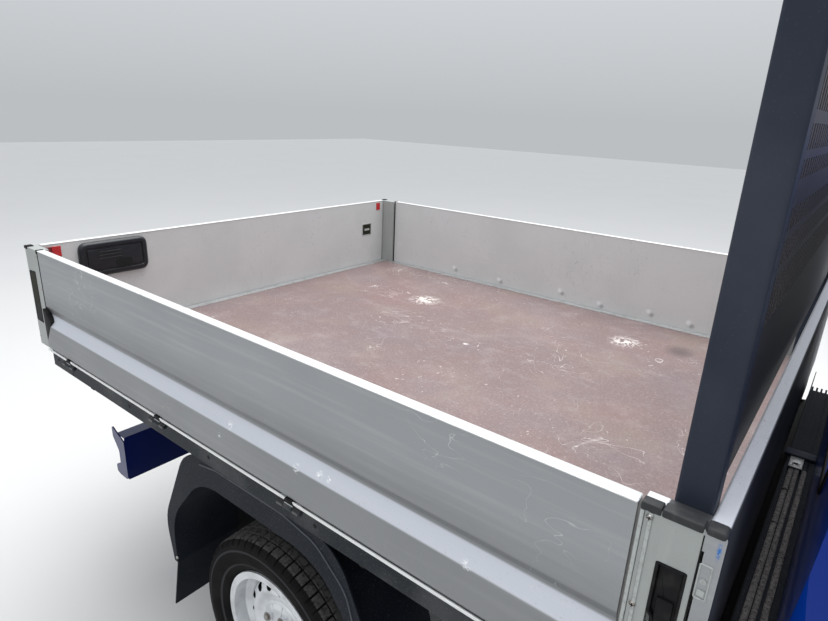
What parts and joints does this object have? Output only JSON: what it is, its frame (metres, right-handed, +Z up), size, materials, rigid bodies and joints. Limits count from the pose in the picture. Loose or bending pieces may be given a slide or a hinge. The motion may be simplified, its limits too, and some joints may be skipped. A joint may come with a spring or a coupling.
{
  "type": "dump truck",
  "caption": "Light crew-cab dump truck: blue cab, drop-side aluminium bed that tips on a telescopic ram, slotted headboard, steering front wheels, opening doors and bonnet.",
  "frame": {"origin": "on the ground under the middle of the vehicle", "axes": "+X forward along the vehicle, +Y to its left, +Z up"},
  "size_m": [5.549, 2.2968, 2.127],
  "materials": {
    "board_aluminium": "satin",
    "bed_steel": "satin",
    "plywood": "matte",
    "pillar_paint": "satin",
    "panel_paint": "matte",
    "headboard_paint": "satin",
    "chassis_paint": "matte",
    "ram_paint": "satin",
    "ram_chrome": "polished",
    "beam_paint": "gloss",
    "body_paint": "gloss",
    "dark_plastic": "matte",
    "glass": "polished",
    "lamp_plastic": "gloss",
    "rim_paint": "satin",
    "tyre": "matte",
    "seat_fabric": "matte",
    "cast_metal": "matte"
  },
  "bodies": {
    "vehicle": {"chassis_frame": "chassis_paint", "tipper_subframe": "chassis_paint", "rear_beam": "beam_paint", "rear_mudguards": "dark_plastic", "suspension": "chassis_paint", "cab_floor": "body_paint", "cab_roof": "body_paint", "cab_sides": "body_paint", "front_wings": "body_paint", "fixed_glass": "glass", "bumper": "dark_plastic", "grille": "dark_plastic", "lamps": "lamp_plastic", "dashboard": "dark_plastic", "seats": "seat_fabric", "engine_block": "cast_metal", "fuel_tank": "dark_plastic", "gap_tray": "dark_plastic"},
    "bed": {"bed_frame": "bed_steel", "bed_beams": "bed_steel", "bed_floor": "plywood", "front_wall": "board_aluminium", "corner_pillars": "pillar_paint", "headboard": "headboard_paint", "headboard_panel": "panel_paint"},
    "side_board_right": {"side_board_right": "board_aluminium"},
    "side_board_left": {"side_board_left": "board_aluminium"},
    "tailgate": {"tailgate": "board_aluminium", "tailgate_step": "dark_plastic"},
    "ram_barrel": {"ram_barrel": "ram_paint"},
    "ram_stage": {"ram_stage": "ram_chrome"},
    "ram_rod": {"ram_rod": "ram_chrome"},
    "bonnet": {"bonnet": "body_paint"},
    "steering_wheel": {"steering_wheel": "dark_plastic"},
    "front_door_right": {"front_door_right": "body_paint", "front_door_glass_right": "glass", "mirror_right": "dark_plastic"},
    "rear_door_right": {"rear_door_right": "body_paint", "rear_door_glass_right": "glass"},
    "knuckle_right": {"knuckle_right": "cast_metal"},
    "front_door_left": {"front_door_left": "body_paint", "front_door_glass_left": "glass", "mirror_left": "dark_plastic"},
    "rear_door_left": {"rear_door_left": "body_paint", "rear_door_glass_left": "glass"},
    "knuckle_left": {"knuckle_left": "cast_metal"},
    "wheel_front_left": {"rim_front_left": "rim_paint", "tyre_front_left": "tyre"},
    "wheel_front_right": {"rim_front_right": "rim_paint", "tyre_front_right": "tyre"},
    "wheel_rear_left": {"rim_rear_left": "rim_paint", "tyre_rear_left": "tyre"},
    "wheel_rear_right": {"rim_rear_right": "rim_paint", "tyre_rear_right": "tyre"}
  },
  "joints": [
    {"name": "bed_tip", "type": "hinge", "parent": "vehicle", "child": "bed", "pos_m": [-2.5, 0, 0.909], "axis": [0, -1, 0], "range_deg": [0, 45]},
    {"name": "side_board_right_fold", "type": "hinge", "parent": "bed", "child": "side_board_right", "pos_m": [-1.577, -1.012, 1.022], "axis": [-1, 0, 0], "range_deg": [-180, 0]},
    {"name": "side_board_left_fold", "type": "hinge", "parent": "bed", "child": "side_board_left", "pos_m": [-1.577, 1.012, 1.022], "axis": [1, 0, 0], "range_deg": [-180, 0]},
    {"name": "tailgate_fold", "type": "hinge", "parent": "bed", "child": "tailgate", "pos_m": [-2.765, 0, 1.022], "axis": [0, 1, 0], "range_deg": [-180, 0]},
    {"name": "ram_barrel_tilt", "type": "hinge", "parent": "vehicle", "child": "ram_barrel", "pos_m": [-1.76098, 0, 0.48906], "axis": [0, -1, 0], "range_deg": [0, 22.5]},
    {"name": "ram_stage_slide", "type": "slide", "parent": "ram_barrel", "child": "ram_stage", "axis": [0.2639, 0, 0.9645], "range_m": [0, 0.29921]},
    {"name": "ram_rod_slide", "type": "slide", "parent": "ram_stage", "child": "ram_rod", "axis": [0.2639, 0, 0.9645], "range_m": [0, 0.29921]},
    {"name": "front_door_right_swing", "type": "hinge", "parent": "vehicle", "child": "front_door_right", "pos_m": [1.452, -0.954, 0.84], "axis": [0, 0, 1], "range_deg": [0, 70]},
    {"name": "rear_door_right_swing", "type": "hinge", "parent": "vehicle", "child": "rear_door_right", "pos_m": [0.392, -0.954, 0.84], "axis": [0, 0, 1], "range_deg": [0, 65]},
    {"name": "front_door_left_swing", "type": "hinge", "parent": "vehicle", "child": "front_door_left", "pos_m": [1.452, 0.954, 0.84], "axis": [0, 0, -1], "range_deg": [0, 70]},
    {"name": "rear_door_left_swing", "type": "hinge", "parent": "vehicle", "child": "rear_door_left", "pos_m": [0.392, 0.954, 0.84], "axis": [0, 0, -1], "range_deg": [0, 65]},
    {"name": "bonnet_lift", "type": "hinge", "parent": "vehicle", "child": "bonnet", "pos_m": [2.046, 0, 1.17681], "axis": [0, -1, 0], "range_deg": [0, 60]},
    {"name": "steer_left", "type": "hinge", "parent": "vehicle", "child": "knuckle_left", "pos_m": [1.867, 0.735, 0.34], "axis": [0, 0, 1], "range_deg": [-34, 34]},
    {"name": "steer_right", "type": "hinge", "parent": "vehicle", "child": "knuckle_right", "pos_m": [1.867, -0.735, 0.34], "axis": [0, 0, 1], "range_deg": [-34, 34]},
    {"name": "steering_wheel_turn", "type": "hinge", "parent": "vehicle", "child": "steering_wheel", "pos_m": [1.275, 0.42, 1.11], "axis": [-0.9023, 0, 0.4311], "range_deg": [-544, 544]},
    {"name": "wheel_front_left_spin", "type": "hinge", "parent": "knuckle_left", "child": "wheel_front_left", "pos_m": [1.867, 0.81, 0.34], "axis": [0, 1, 0], "continuous": true},
    {"name": "wheel_rear_left_spin", "type": "hinge", "parent": "vehicle", "child": "wheel_rear_left", "pos_m": [-1.533, 0.81, 0.34], "axis": [0, 1, 0], "continuous": true},
    {"name": "wheel_front_right_spin", "type": "hinge", "parent": "knuckle_right", "child": "wheel_front_right", "pos_m": [1.867, -0.81, 0.34], "axis": [0, 1, 0], "continuous": true},
    {"name": "wheel_rear_right_spin", "type": "hinge", "parent": "vehicle", "child": "wheel_rear_right", "pos_m": [-1.533, -0.81, 0.34], "axis": [0, 1, 0], "continuous": true}
  ],
  "couplings": [
    {"joint": "ram_barrel_tilt", "follows": "bed_tip", "ratio": 0.5},
    {"joint": "ram_stage_slide", "follows": "bed_tip", "m_per_rad": 0.38093},
    {"joint": "ram_rod_slide", "follows": "bed_tip", "m_per_rad": 0.38093},
    {"joint": "steer_right", "follows": "steer_left", "ratio": 1},
    {"joint": "steering_wheel_turn", "follows": "steer_left", "ratio": 15.9}
  ]
}
